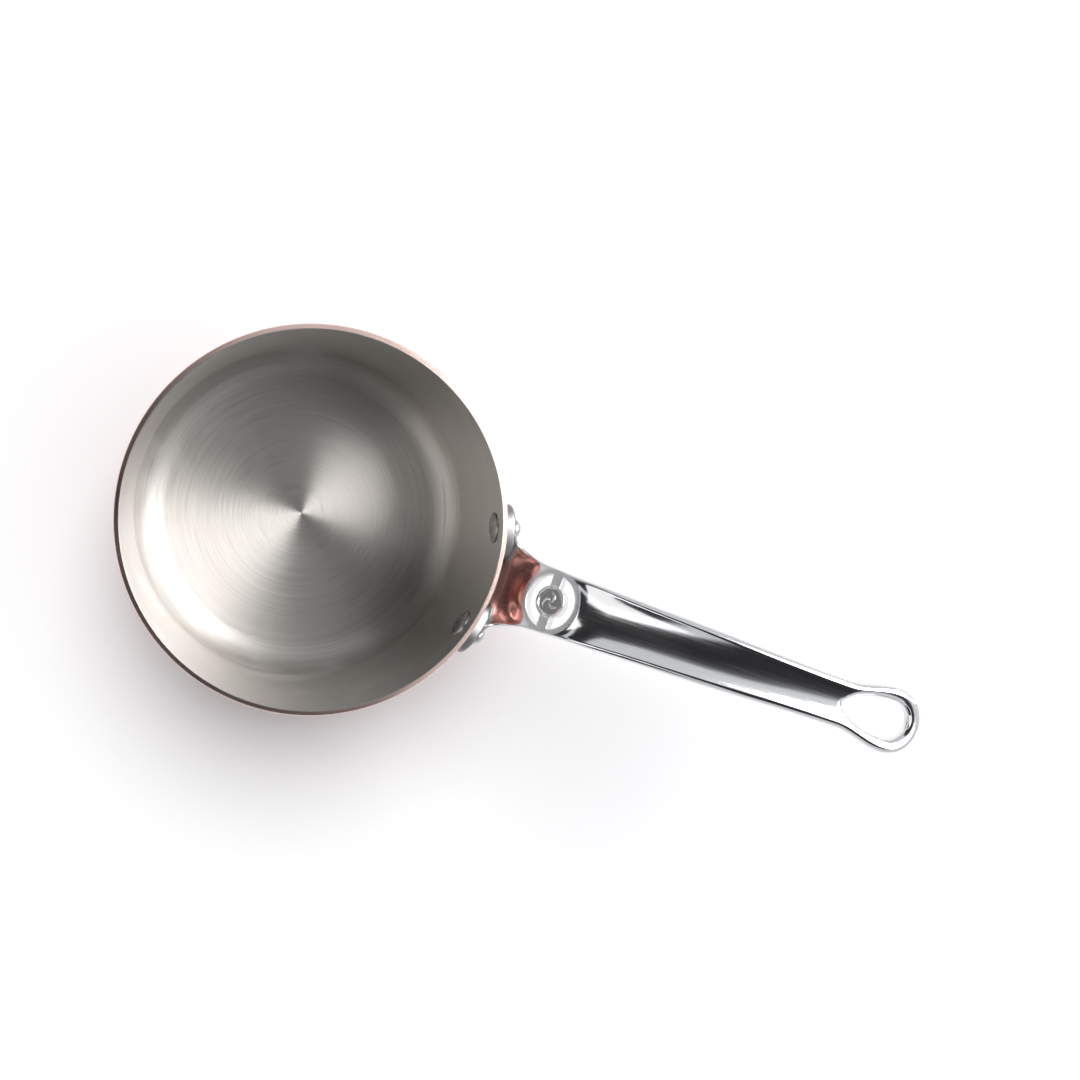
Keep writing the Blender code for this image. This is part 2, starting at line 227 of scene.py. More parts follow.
def arc(centre, radius, begin, end, steps):
    """(radius, z) points of an arc, with its angles in degrees."""
    turns = [math.radians(begin + (end - begin) * i / steps) for i in range(steps + 1)]
    return [(centre[0] + radius * math.cos(t), centre[1] + radius * math.sin(t)) for t in turns]


# ---- materials ----------------------------------------------------------------------------
class Nodes:
    """A node tree being put together."""

    def __init__(self, tree):
        self.tree = tree

    def node(self, kind, sockets=(), **options):
        """Adds a node; sockets are (name or index, value or another node's output)."""
        made = self.tree.nodes.new("ShaderNode" + kind)
        for option, value in options.items():
            setattr(made, option, value)
        for socket, value in sockets:
            if isinstance(value, bpy.types.NodeSocket):
                self.tree.links.new(value, made.inputs[socket])
            else:
                made.inputs[socket].default_value = value
        return made

    def math(self, operation, *values):
        return self.node("Math", list(enumerate(values)), operation=operation).outputs[0]

    def plus(self, base, value, share):
        """The base and a share of the value."""
        return self.math("ADD", base, self.math("MULTIPLY", value, share))

    def vector(self, operation, *values):
        made = self.node("VectorMath", list(enumerate(values)), operation=operation)
        return made.outputs["Value" if operation in ("LENGTH", "DOT_PRODUCT") else 0]

    def ramp(self, factor, *stops):
        """A colour ramp through (position, colour) stops."""
        made = self.node("ValToRGB", [(0, factor)])
        ramp = made.color_ramp
        while len(ramp.elements) < len(stops):
            ramp.elements.new(0.5)
        for element, (position, value) in zip(ramp.elements, stops):
            element.position = position
            element.color = (*value, 1.0)
        return made.outputs["Color"]

    def span(self, value, low, high, to_low=0.0, to_high=1.0, smooth=True):
        """Carries low..high over to to_low..to_high, and holds the ends beyond them."""
        made = self.node(
            "MapRange",
            [(0, value), (1, low), (2, high), (3, to_low), (4, to_high)],
            interpolation_type="SMOOTHSTEP" if smooth else "LINEAR",
        )
        return made.outputs[0]

    def mix(self, factor, a, b):
        """Goes from a to b as the factor goes from 0 to 1; each is a colour or an output."""
        a, b = (c if isinstance(c, bpy.types.NodeSocket) else (*c, 1.0) for c in (a, b))
        return self.node("Mix", [(0, factor), (6, a), (7, b)], data_type="RGBA").outputs[2]


class Finish(Nodes):
    """A finish being put together: a Principled shader and the nodes that feed it."""

    def __init__(self, name, base, roughness, **shader_values):
        self.material = bpy.data.materials.new(name)
        self.material.use_nodes = True
        super().__init__(self.material.node_tree)
        self.shader = self.tree.nodes["Principled BSDF"]
        self.shader.inputs["Base Color"].default_value = (*base, 1.0)
        self.shader.inputs["Roughness"].default_value = roughness
        self.shader.inputs["Metallic"].default_value = 1.0
        for socket, value in shader_values.items():
            self.shader.inputs[socket.replace("_", " ").title()].default_value = value

    def feed(self, socket, value):
        self.tree.links.new(value, self.shader.inputs[socket])

    def place(self):
        return self.node("TexCoord").outputs["Object"]

    def noise(self, vector, scale, detail=3.0, distortion=0.0):
        sockets = [("Vector", vector), ("Scale", scale), ("Detail", detail)]
        sockets.append(("Distortion", distortion))
        return self.node("TexNoise", sockets).outputs["Fac"]

    def bump(self, height, strength, distance, normal=None):
        sockets = [("Height", height), ("Strength", strength), ("Distance", distance)]
        if normal:
            sockets.append(("Normal", normal))
        return self.node("Bump", sockets).outputs["Normal"]

    def turn_highlights(self):
        """Stretches the highlights across lines that run round Z."""
        self.feed("Tangent", self.node("Tangent", direction_type="RADIAL", axis="Z").outputs[0])

    def round_lines(self, across, along, detail=2.0):
        """Noise drawn out into fine rings about Z: quick across them, slow along them."""
        x, y, z = self.node("SeparateXYZ", [(0, self.place())]).outputs
        flat = self.node("CombineXYZ", [(0, x), (1, y)]).outputs[0]
        radius = self.math("MULTIPLY", self.vector("LENGTH", flat), across)
        height = self.math("MULTIPLY", z, across)
        ux, uy, _ = self.node("SeparateXYZ", [(0, self.vector("NORMALIZE", flat))]).outputs
        # the direction adds slow change round the ring, without a seam where the angle wraps
        first, second = self.plus(radius, ux, along), self.plus(height, uy, along)
        where = self.node("CombineXYZ", [(0, first), (1, second), (2, height)]).outputs[0]
        return self.noise(where, 1.0, detail=detail)


def shaded(colour_value, *shares):
    """The colour times one share, or times one share for each channel."""
    shares = shares * 3 if len(shares) == 1 else shares
    return tuple(min(1.0, c * share) for c, share in zip(colour_value, shares))


def brushed_lining(colour_value):
    """Steel brushed in rings: fans of light, fine rings, a few long scratches, smudges."""
    m = Finish(
        "brushed_lining", colour_value, 0.40, anisotropic=0.93, anisotropic_rotation=QUARTER_TURN
    )
    m.turn_highlights()
    fine = m.round_lines(across=2600.0, along=2.2)
    broad = m.round_lines(across=1100.0, along=1.1, detail=3.0)
    scratch = m.span(m.round_lines(across=900.0, along=0.9, detail=0.0), 0.74, 0.80)
    smudge = m.noise(m.place(), 34.0, detail=5.0, distortion=0.6)
    grain = m.plus(m.math("MULTIPLY", fine, 0.7), broad, 0.3)
    valley, worn_steel = shaded(colour_value, 0.74), (0.64, 0.62, 0.60)
    shade = m.ramp(grain, (0.34, valley), (0.66, tuple(colour_value)))
    worn = m.span(smudge, 0.52, 0.72, to_high=0.22)
    m.feed("Base Color", m.mix(worn, shade, worn_steel))
    rough = m.span(grain, 0.35, 0.65, to_low=0.34, to_high=0.46)
    m.feed("Roughness", m.plus(m.plus(rough, scratch, 0.10), worn, 0.25))
    m.feed("Normal", m.bump(m.plus(grain, scratch, 0.8), 0.25, 0.00008))
    return m.material


def polished_copper(colour_value):
    """Buffed copper with faint turning lines and warmer, duller patches."""
    m = Finish(
        "polished_copper", colour_value, 0.24, anisotropic=0.35, anisotropic_rotation=QUARTER_TURN
    )
    m.turn_highlights()
    lines = m.round_lines(across=1500.0, along=3.0)
    patch = m.noise(m.place(), 22.0, detail=4.0, distortion=0.4)
    deep = shaded(colour_value, 0.90, 0.80, 0.78)
    m.feed("Base Color", m.mix(m.span(patch, 0.38, 0.68), tuple(colour_value), deep))
    by_patch = m.span(patch, 0.35, 0.7, to_low=0.20, to_high=0.28)
    m.feed("Roughness", m.math("ADD", by_patch, m.span(lines, 0.3, 0.7, to_high=0.05)))
    m.feed("Normal", m.bump(lines, 0.05, 0.00005))
    return m.material


def cut_copper(colour_value):
    """The machined rim: paler copper with tight turning marks."""
    m = Finish(
        "cut_copper", colour_value, 0.16, anisotropic=0.40, anisotropic_rotation=QUARTER_TURN
    )
    m.turn_highlights()
    lines = m.round_lines(across=5200.0, along=3.0)
    patch = m.noise(m.place(), 60.0)
    pale = shaded(colour_value, 1.30, 2.10, 2.25)
    m.feed("Base Color", m.mix(m.span(patch, 0.3, 0.7), shaded(pale, 0.88), pale))
    m.feed("Roughness", m.span(lines, 0.3, 0.7, to_low=0.12, to_high=0.20))
    m.feed("Normal", m.bump(lines, 0.10, 0.00004))
    return m.material


def cast_steel(handle):
    """Polished casting, buffed lengthwise, with a satin ground round the slots, a dark sunk
    hub floor, and a duller skin against the wall, with painted shade darkening it there.
    """
    m = Finish("cast_steel", handle.steel_colour, 0.06)
    x, y, z = m.node("SeparateXYZ", [(0, m.place())]).outputs
    cos, sin = math.cos(handle.rise_root), math.sin(handle.rise_root)
    away_x = m.math("SUBTRACT", x, handle.boss_x)
    away_z = m.math("SUBTRACT", z, handle.boss_z)
    along = m.plus(m.math("MULTIPLY", away_x, cos), away_z, sin)
    above = m.math("SUBTRACT", m.math("MULTIPLY", away_z, cos), m.math("MULTIPLY", away_x, sin))
    ring = m.vector("LENGTH", m.node("CombineXYZ", [(0, along), (1, y)]).outputs[0])
    axis_r = m.vector("LENGTH", m.node("CombineXYZ", [(0, x), (1, y)]).outputs[0])

    # where each finish lies, and the band by the wall that is duller and darkened with painted
    # shade
    fade, soft_fade = 0.0002, 0.0004
    overlap, skin_high, skin_low = 0.0001, -0.0018, -0.0030
    # radii over which the band by the wall turns duller and takes its painted shade
    wall_shade_end, wall_shade_full = 0.0915, 0.0885
    satin = m.math(
        "MULTIPLY",
        m.span(ring, handle.satin + overlap, handle.satin - soft_fade),
        m.span(above, skin_low, skin_high),
    )
    hub_floor = m.span(ring, handle.recess + overlap, handle.recess - fade)
    hub_rim = m.span(ring, handle.hub + overlap, handle.hub - fade)
    # painted shade: the colour darkens towards the pan's wall, where the handle meets it; the
    # roughness rises there too
    wall_shade_and_dull = m.span(axis_r, wall_shade_end, wall_shade_full)
    outside_hub = m.math("SUBTRACT", 1.0, hub_rim)
    matt = m.math("MAXIMUM", m.math("MULTIPLY", satin, outside_hub), hub_floor)

    # the marks that polishing and grinding leave
    grind = m.noise(m.place(), 3800.0, detail=2.0)
    lengthwise, crosswise = 26.0, 2400.0
    scales = ((x, lengthwise), (y, crosswise), (z, lengthwise))
    buffing = m.node(
        "CombineXYZ", [(i, m.math("MULTIPLY", a, scale)) for i, (a, scale) in enumerate(scales)]
    )
    lines = m.noise(buffing.outputs[0], 1.0)
    cloud = m.noise(m.place(), 30.0)

    by_lines = m.span(lines, 0.35, 0.75, to_low=0.07, to_high=0.16)
    bare = m.math("ADD", by_lines, m.span(cloud, 0.4, 0.7, to_high=0.035))
    ground = m.math("ADD", m.math("MULTIPLY", grind, 0.12), 0.22)
    wall_rough = 0.42
    rough = m.node("Mix", [(0, matt), (2, bare), (3, ground)]).outputs[0]
    m.feed("Roughness", m.node("Mix", [(0, wall_shade_and_dull), (2, rough), (3, wall_rough)]).outputs[0])

    steel = tuple(handle.steel_colour)
    tone = steel
    # darker tones: random clouds, the satin ground, the sunk hub floor, and painted shade by the
    # wall
    for share, darker in (
        (m.span(cloud, 0.35, 0.7), 0.95), (matt, 0.98), (hub_floor, 0.50), (wall_shade_and_dull, 0.34)
    ):
        tone = m.mix(share, tone, shaded(steel, darker))
    m.feed("Base Color", tone)
    fine = m.bump(lines, 0.035, 0.00003)
    m.feed("Normal", m.bump(m.math("MULTIPLY", grind, satin), 0.16, 0.00005, fine))
    return m.material


def satin_rivet(colour_value):
    """Rivet steel, tumbled satin, a little darker in patches."""
    m = Finish("rivet_satin", colour_value, 0.26)
    spot = m.noise(m.place(), 900.0)
    patch = m.noise(m.place(), 240.0, detail=2.0)
    m.feed("Roughness", m.span(spot, 0.3, 0.7, to_low=0.20, to_high=0.34))
    dark = shaded(colour_value, 0.82)
    m.feed("Base Color", m.mix(m.span(patch, 0.4, 0.65), tuple(colour_value), dark))
    m.feed("Normal", m.bump(spot, 0.10, 0.00006))
    return m.material


# ---- the pan ------------------------------------------------------------------------------
def cup_outline(radius, base_z, fillet, top_z):
    """(radius, z) points of one face of the cup from the axis out and up to the rim."""
    steps, base_shares, wall_shares = 26, (0.0, 0.02, 0.25, 0.5, 0.7), (0.4, 0.8, 1.0)
    base = [(radius * share, base_z) for share in base_shares]
    corner = arc((radius - fillet, base_z + fillet), fillet, -90, 0, steps)
    wall_low, wall_height = base_z + fillet, top_z - base_z - fillet
    return base + corner + [(radius, wall_low + wall_height * share) for share in wall_shares]


class SAUCEPAN_OT_pan(bpy.types.Operator):
    """Make the copper pan and its brushed steel lining"""

    bl_idname = "saucepan.pan"
    bl_label = "Pan"

    def execute(self, context):
        pan, _, _ = settings(context)
        top, edge = pan.height, pan.edge
        copper_in = pan.radius - pan.copper
        outside = cup_outline(pan.radius, 0.0, pan.fillet, top - edge)
        inside = cup_outline(copper_in, pan.copper, pan.fillet - pan.copper, top)
        outline = outside + [(pan.radius - edge, top)] + inside[::-1]
        shell = from_bmesh("pan_copper", turned(outline, pan.segments))
        piece = add_mesh("pan_copper", shell, polished_copper(pan.copper_colour))
        shell.materials.append(cut_copper(pan.copper_colour))
        below_rim = top - 1.01 * edge
        for face in shell.polygons:
            if all(shell.vertices[i].co.z > below_rim for i in face.vertices):
                face.material_index = 1
        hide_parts("copper_shell")

        skin = 0.00001      # the bonded layers are drawn this far apart
        out_r, low_z = copper_in - skin, pan.copper + skin
        in_r, floor_z = out_r - pan.lining, low_z + pan.lining
        outer = cup_outline(out_r, low_z, pan.fillet - pan.copper - skin, top)
        inner = cup_outline(in_r, floor_z, pan.fillet - pan.copper - skin - pan.lining, top - edge)
        chamfer = edge * 0.7
        outline = outer + [(in_r + chamfer, top)] + inner[::-1]
        lining = from_bmesh("pan_lining", turned(outline, pan.segments))
        piece = add_mesh("pan_lining", lining, brushed_lining(pan.lining_colour))
        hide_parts("steel_lining")
        return {"FINISHED"}


# ---- the handle's shape -------------------------------------------------------------------
class TopLine:
    """The handle's top centre line in the XZ plane, by arc length, for arrays of lengths."""

    def __init__(self, handle):
        self.root_x, self.rise_root = handle.root_x, handle.rise_root
        cos, sin = math.cos(handle.rise_root), math.sin(handle.rise_root)
        self.boss_s = (handle.boss_x - handle.root_x) / cos
        self.bend_s = self.boss_s + handle.flat
        self.stem_s = self.bend_s + handle.bend * (handle.rise_root - handle.rise_stem)
        self.root_z = handle.boss_z - self.boss_s * sin
        stem_x = handle.root_x + self.bend_s * cos
        stem_x += handle.bend * (sin - math.sin(handle.rise_stem))
        run = math.sin(handle.rise_stem) - math.sin(handle.rise_tip)
        stem_r = (handle.reach - stem_x) / run
        self.length = self.stem_s + stem_r * (handle.rise_stem - handle.rise_tip)
        past_tip = 0.1
        self.arcs = (
            (self.bend_s, self.stem_s, handle.bend),
            (self.stem_s, self.length + past_tip, stem_r),
        )

    def at(self, s):
        """Arrays (x, z, slope) at arc lengths s; before the start the line runs straight on."""
        run = np.minimum(s, self.bend_s)
        x = self.root_x + run * math.cos(self.rise_root)
        z = self.root_z + run * math.sin(self.rise_root)
        slope = np.full_like(x, self.rise_root)
        for begin, end, radius in self.arcs:
            next_slope = slope - (np.clip(s, begin, end) - begin) / radius
            x = x + radius * (np.sin(slope) - np.sin(next_slope))
            z = z + radius * (np.cos(next_slope) - np.cos(slope))
            slope = next_slope
        return x, z, slope

    def place(self, s, y, h):
        """World points for arrays of arc length, side distance and height above the line."""
        lean_run = 0.014    # sections are upright at the wall and square to the line from here
        x, z, slope = self.at(s)
        lean = slope * smoothstep(s / lean_run)
        return np.stack([x - h * np.sin(lean), y, z + h * np.cos(lean)], axis=-1)


def through(stations, s):
    """A smooth curve through (position, value) stations, read at every s."""
    knots, values = np.array(stations).T
    slopes = np.gradient(values, knots)
    slopes[0] = slopes[-1] = 0.0
    s = np.clip(s, knots[0], knots[-1])
    i = np.clip(np.searchsorted(knots, s, side="right") - 1, 0, len(knots) - 2)
    h = knots[i + 1] - knots[i]
    t = (s - knots[i]) / h
    return (
        values[i] * (1 + 2 * t) * (1 - t) ** 2
        + values[i + 1] * t * t * (3 - 2 * t)
        + h * slopes[i] * t * (1 - t) ** 2
        + h * slopes[i + 1] * t * t * (t - 1)
    )


def rounded(a, b, radius):
    """Where both a and b are inside, with the edge between them rounded off."""
    outside = np.sqrt(np.maximum(a + radius, 0.0) ** 2 + np.maximum(b + radius, 0.0) ** 2)
    return np.minimum(np.maximum(a, b), -radius) + outside


def blended(a, b, reach):
    """Either a or b, with a fillet between them."""
    near = np.maximum(reach - np.abs(a - b), 0.0) / reach
    return np.minimum(a, b) - near * near * reach * 0.25


class HandleShape:
    """The casting as a field over (s, y, h): negative in the metal, zero on its surface."""

    def __init__(self, pan, handle, rivets):
        self.pan, self.handle, self.rivets = pan, handle, rivets
        self.line = TopLine(handle)
        self.wall_r = pan.radius + SADDLE_GAP
        self.loop_s = self.line.length - handle.loop
        self.fork_s = self.line.length - (handle.loop - handle.hole) - handle.hole_length
        boss, stem = self.line.boss_s, self.line.stem_s
        # (arc length, value) stations down the handle
        self.half_widths = (
            (0.0, 0.0240), (0.006, 0.0212), (0.013, 0.0179), (0.021, 0.0156), (boss, 0.0146),
            (stem, 0.0134), (0.110, 0.0120), (0.140, 0.0107), (self.fork_s, 0.0102),
        )
        self.depths = (
            (0.0, 0.0062), (0.016, 0.0052), (boss, 0.0042), (self.line.bend_s, 0.0050),
            (stem + 0.012, 0.0078), (0.120, 0.0078), (self.fork_s, 0.0068),
        )
        self.edge_rounds = ((0.0, 0.0008), (boss, 0.0010), (stem, 0.0020), (self.fork_s, 0.0027))

    def half_width(self, s):
        flare = smoothstep((s - self.fork_s) / (self.loop_s - self.fork_s))
        width = through(self.half_widths, s)
        return width + (self.handle.loop - width) * flare

    def outline(self, s, y):
        """Distance outside the handle's outer outline, in plan."""
        side = np.abs(y)
        step = 1e-4
        lean = (self.half_width(s + step) - self.half_width(s - step)) / (2 * step)
        beside = (side - self.half_width(s)) / np.sqrt(1 + lean * lean)
        round_end = np.hypot(s - self.loop_s, y) - self.handle.loop
        return np.where(s > self.loop_s, round_end, beside)

    def hanging_hole(self, s, y):
        """Distance inside the egg-shaped hole, in plan; negative in the metal."""
        off_centre = 1e-6       # keeps the slope finite on the centre line
        side = np.abs(y) + off_centre
        run, r, power = self.loop_s - self.fork_s, self.handle.hole, 1.613
        u = (self.loop_s - s) / run
        field = u * u + (side / r) ** power - 1
        slope = np.hypot(2 * u / run, power * (side / r) ** (power - 1) / r)
        egg = -field / slope
        return np.where(s > self.loop_s, r - np.hypot(s - self.loop_s, y), egg)

    def crown(self, s, y):
        """Height of the top face over the top line."""
        slot_lip, root_depth, root_run = 0.0010, 0.0023, 0.0120
        stem_depth, stem_run, fade, fade_run = 0.0024, 0.0135, 0.50, 0.080
        rim_height, rim_run = 0.0080, 0.017
        hub_height, hub_lap, hub_run = 0.00035, 0.0001, 0.0003
        floor_depth, floor_lap, floor_run = 0.0010, 0.0002, 0.0004
        boss = self.line.boss_s
        ring = np.hypot(s - boss, y)
        reach = np.minimum(
            1.0, np.abs(y) / (self.half_width(s) - through(self.edge_rounds, s))
        )
        # hollows in the root and the stem, which leave raised sides and the boss between them
        past_slots = np.maximum(ring - self.handle.slot - slot_lip, 0.0)
        root = root_depth * smoothstep(past_slots / root_run) * (1 - reach ** 5)
        past_satin = np.clip((ring - self.handle.satin) / stem_run, 0.0, 1.0)
        shallow = 1 - fade * smoothstep((s - self.line.stem_s) / fade_run)
        stem = stem_depth * (1 - (1 - past_satin) ** 2) * shallow * (1 - reach ** 2.1)
        # the root's sides climb to meet the ears
        rims = rim_height * (1 - smoothstep(s / rim_run)) * reach ** 3
        top = rims - np.where(s < boss, root, stem)
        hub = hub_height * smoothstep((self.handle.hub + hub_lap - ring) / hub_run)
        floor = floor_depth * smoothstep((self.handle.recess + floor_lap - ring) / floor_run)
        return top + hub - floor

    def ears(self, points):
        """The two round ears that lie on the wall."""
        radius = np.hypot(points[..., 0], points[..., 1])
        mid_r = self.wall_r + self.rivets.saddle / 2
        bearing = np.abs(np.arctan2(points[..., 1], points[..., 0]))
        along = mid_r * (bearing - self.rivets.bearing)
        up = points[..., 2] - self.rivets.height
        reach_in, reach_out, half_h, edge = 0.0140, 0.0109, 0.0076, 0.0016
        across = np.where(along > 0, along / reach_out, along / reach_in)
        ratio = np.hypot(across, up / half_h)
        plan = (ratio - 1) * half_h
        face = radius - self.wall_r - self.rivets.saddle
        return rounded(plan, face, edge)

    def slots(self, s, y):
        """Distance inside the two C-shaped slots; negative in the metal."""
        ring = np.hypot(s - self.line.boss_s, y)
        between = np.minimum(self.handle.slot - ring, ring - self.handle.hub)
        return np.minimum(between, np.abs(s - self.line.boss_s) - self.handle.bridge)

    def tail_room(self, points):
        """Distance inside the faced spot that each rivet's button sits in."""
        bearing, room = self.rivets.bearing, 0.0004
        x, y = points[..., 0], np.abs(points[..., 1])
        along = x * math.cos(bearing) + y * math.sin(bearing)
        across = y * math.cos(bearing) - x * math.sin(bearing)
        off_axis = np.hypot(across, points[..., 2] - self.rivets.height)
        spot = self.rivets.tail + room - off_axis
        return np.minimum(spot, along - self.wall_r - self.rivets.saddle)

    def field(self, s, y, h):
        """The whole casting, put together from its parts, cuts and rounded edges."""
        under_share, foot_drop, foot_round, ear_fillet = 0.42, 0.0106, 0.0018, 0.0034
        hole_round, slot_round, wall_round = 0.0024, 0.0003, 0.0002
        points = self.line.place(s, y, h)
        depth = through(self.depths, s)
        top = h - self.crown(s, y)
        body = rounded(self.outline(s, y), top, through(self.edge_rounds, s))
        body = rounded(body, -depth - h, under_share * depth)
        foot = self.rivets.height - foot_drop - points[..., 2]
        body = rounded(body, foot, foot_round)
        body = blended(body, self.ears(points), ear_fillet)
        body = np.maximum(body, self.tail_room(points))
        body = rounded(body, self.hanging_hole(s, y), hole_round)
        body = rounded(body, self.slots(s, y), slot_round)
        wall = self.wall_r - np.hypot(points[..., 0], points[..., 1])
        return rounded(body, wall, wall_round)


def surface_net(field, origin, step):
    """Points and quads of the zero surface of a field sampled on an even grid."""
    inside = field < 0
    shape = tuple(n - 1 for n in field.shape)
    spots, cells = [], []
    for axis in range(3):
        others = [a for a in range(3) if a != axis]
        near, far = np.moveaxis(inside, axis, 0)[:-1], np.moveaxis(inside, axis, 0)[1:]
        i, j, k = np.nonzero(near != far)
        values = np.moveaxis(field, axis, 0)
        v0, v1 = values[i, j, k], values[i + 1, j, k]
        spot = np.empty((len(i), 3))
        spot[:, axis], spot[:, others[0]], spot[:, others[1]] = i + v0 / (v0 - v1), j, k
        corners = np.empty((len(i), 4, 3), np.int64)
        for c, (dj, dk) in enumerate(((-1, -1), (0, -1), (0, 0), (-1, 0))):
            corners[:, c, axis] = i
            corners[:, c, others[0]] = j + dj
            corners[:, c, others[1]] = k + dk
        turn = (v0 > 0) ^ (axis == 1)
        corners[turn] = corners[turn, ::-1]
        spots.append(spot)
        cells.append(corners)
    spots, cells = np.concatenate(spots), np.concatenate(cells)
    flat = np.ravel_multi_index(tuple(cells[..., a] for a in range(3)), shape)
    used, quads = np.unique(flat, return_inverse=True)
    quads = quads.reshape(-1, 4)
    count = np.bincount(quads.ravel(), minlength=len(used))
    points = np.empty((len(used), 3))
    for a in range(3):
        weight = np.repeat(spots[:, a], 4)
        points[:, a] = np.bincount(quads.ravel(), weights=weight, minlength=len(used)) / count
    return points * step + origin, quads


def gradient(field, p, eps=2e-5):
    """The field's slope along s, y and h at each point."""
    slope = np.empty_like(p)
    for a in range(3):
        ahead, behind = p.copy(), p.copy()
        ahead[:, a] += eps
        behind[:, a] -= eps
        slope[:, a] = (field(*ahead.T) - field(*behind.T)) / (2 * eps)
    return slope


def handle_mesh(shape, grain):
    """The casting's surface: a net over the field, pulled onto it, then set in place."""
    back, half_y, under, over, past_tip = -0.0200, 0.0385, -0.0130, 0.0300, 0.002
    low = np.array([back, -half_y, under])
    high = np.array([shape.line.length + past_tip, half_y, over])
    counts = np.ceil((high - low) / grain).astype(int) + 1
    axes = [low[a] + grain * np.arange(counts[a]) for a in range(3)]
    # only the saddle fills the whole box; past it a narrow, low part holds the handle
    saddle_end, stem_half_y, stem_top = 0.030, 0.0200, 0.0030
    near = axes[0] < saddle_end
    narrow = np.abs(axes[1]) < stem_half_y
    shallow = axes[2] < stem_top
    field = np.ones(counts, np.float32)
    batches = 12
    for rows, across, up in (
        (np.nonzero(near)[0], slice(None), slice(None)),
        (np.nonzero(~near)[0], np.nonzero(narrow)[0], np.nonzero(shallow)[0]),
    ):
        ys = axes[1][across]
        hs = axes[2][up]
        first_y = 0 if isinstance(across, slice) else across[0]
        for part in np.array_split(rows, batches):
            s, y, h = np.meshgrid(axes[0][part], ys, hs, indexing="ij")
            values = shape.field(s, y, h).astype(np.float32)
            field[part[0]:part[-1] + 1, first_y:first_y + len(ys), :len(hs)] = values
    points, quads = surface_net(field, low, grain)
    pulls, flattest, most = 5, 0.05, 0.4 * grain
    for _ in range(pulls):
        value = shape.field(*points.T)
        slope = gradient(shape.field, points)
        size = np.maximum((slope * slope).sum(axis=1), flattest)
        points -= np.clip((value / size)[:, None] * slope, -most, most)
    world = shape.line.place(*points.T)
    mesh = bpy.data.meshes.new("cast_handle_fine")
    mesh.from_pydata(world.tolist(), [], quads.tolist())
    mesh.validate()
    return mesh


class SAUCEPAN_OT_handle(bpy.types.Operator):
    """Make the cast handle with its slotted boss, hollow stem and hanging loop"""

    bl_idname = "saucepan.handle"
    bl_label = "Handle"

    def execute(self, context):
        pan, handle, rivets = settings(context)
        shape = HandleShape(pan, handle, rivets)
        mesh = handle_mesh(shape, handle.grain)
        fewest = 1000
        if len(mesh.polygons) < fewest:
            raise RuntimeError("the handle's surface came out empty")
        mesh.shade_smooth()
        piece = add_mesh("handle_casting", mesh, cast_steel(handle))
        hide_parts("cast_handle")
        return {"FINISHED"}


# ---- the hub's motif ----------------------------------------------------------------------
class SAUCEPAN_OT_motif(bpy.types.Operator):
    """Make the three curved blades raised on the hub's sunk floor"""

    bl_idname = "saucepan.motif"
    bl_label = "Hub motif"

    def execute(self, context):
        _, handle, _ = settings(context)
        blades, steps, reach = 3, 10, handle.recess * 0.80
        sweep, near, tip, thickness = 1.9, 0.10, 0.35, 0.00065
        colour_value = (0.74, 0.74, 0.735)
        curve = bpy.data.curves.new("hub_motif", "CURVE")
        curve.dimensions = "3D"
        curve.bevel_depth = thickness
        curve.bevel_resolution = 3
        curve.use_fill_caps = True
        for blade in range(blades):
            spline = curve.splines.new("POLY")
            spline.points.add(steps)
            for i, point in enumerate(spline.points):
                share = i / steps
                turn = 2 * math.pi * blade / blades + sweep * share
                radius = reach * (near + (1 - near) * share)
                point.co = (radius * math.cos(turn), radius * math.sin(turn), 0.0, 1.0)
                point.radius = tip + math.sin(math.pi * share) ** 0.7
        piece = bpy.data.objects.new("hub_motif", curve)
        bpy.context.scene.collection.objects.link(piece)
        tilt = Matrix.Rotation(-handle.rise_root, 4, "Y")
        centre = Vector((handle.boss_x, 0.0, handle.boss_z))
        floor = Vector((0.0, 0.0, -thickness))
        piece.matrix_world = Matrix.Translation(centre) @ tilt @ Matrix.Translation(floor)
        curve.materials.append(satin_rivet(colour_value))
        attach(piece, "root")
        return {"FINISHED"}


# ---- the rivets ---------------------------------------------------------------------------
class SAUCEPAN_OT_rivets(bpy.types.Operator):
    """Make the two rivets: a low head inside the pan and a closed button on each ear"""

    bl_idname = "saucepan.rivets"
    bl_label = "Rivets"

    def execute(self, context):
        pan, _, rivets = settings(context)
        shank, sunk, head_edge, head_round, head_deep = 0.0030, 0.0001, 0.0006, 0.0004, 0.0016
        dome = ((0.0, 0.0), (0.45, 0.00004), (0.8, 0.00030))    # share of the radius, fall
        collar, degrees, steps = 0.0010, 9, 10
        lining_r = pan.radius - pan.copper - pan.lining
        head_x = math.sqrt(lining_r ** 2 - rivets.head ** 2) + sunk
        crown_x = lining_r - rivets.head_rise
        tail_x = pan.radius + SADDLE_GAP + rivets.saddle - sunk
        head = [(rivets.head * share, crown_x + fall) for share, fall in dome]
        middle = (rivets.head - head_round, crown_x + head_edge + head_round)
        head += arc(middle, head_round, -70, 0, 6)
        head += [(rivets.head, head_x + head_deep), (shank, head_x + head_deep)]
        button = [(shank, tail_x), (rivets.tail, tail_x)]
        for i in range(steps):
            t = math.radians(degrees * i)
            rise = (rivets.tail_rise - collar) * math.sin(t)
            button.append((rivets.tail * math.cos(t), tail_x + collar + rise))
        button += [(0.0, tail_x + rivets.tail_rise)]
        material = satin_rivet(rivets.steel_colour)
        for name, side in (("rivet_right", 1), ("rivet_left", -1)):
            outline = turned(head + button, 96)
            mesh = from_bmesh(name + "_fine", outline, math.radians(40))
            lay = Matrix.Rotation(math.pi / 2, 4, "Y")
            swing = Matrix.Rotation(side * rivets.bearing, 4, "Z")
            mesh.transform(Matrix.Translation((0, 0, rivets.height)) @ swing @ lay)
            piece = add_mesh(name + "_fine", mesh, material)
            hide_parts(name)
        return {"FINISHED"}


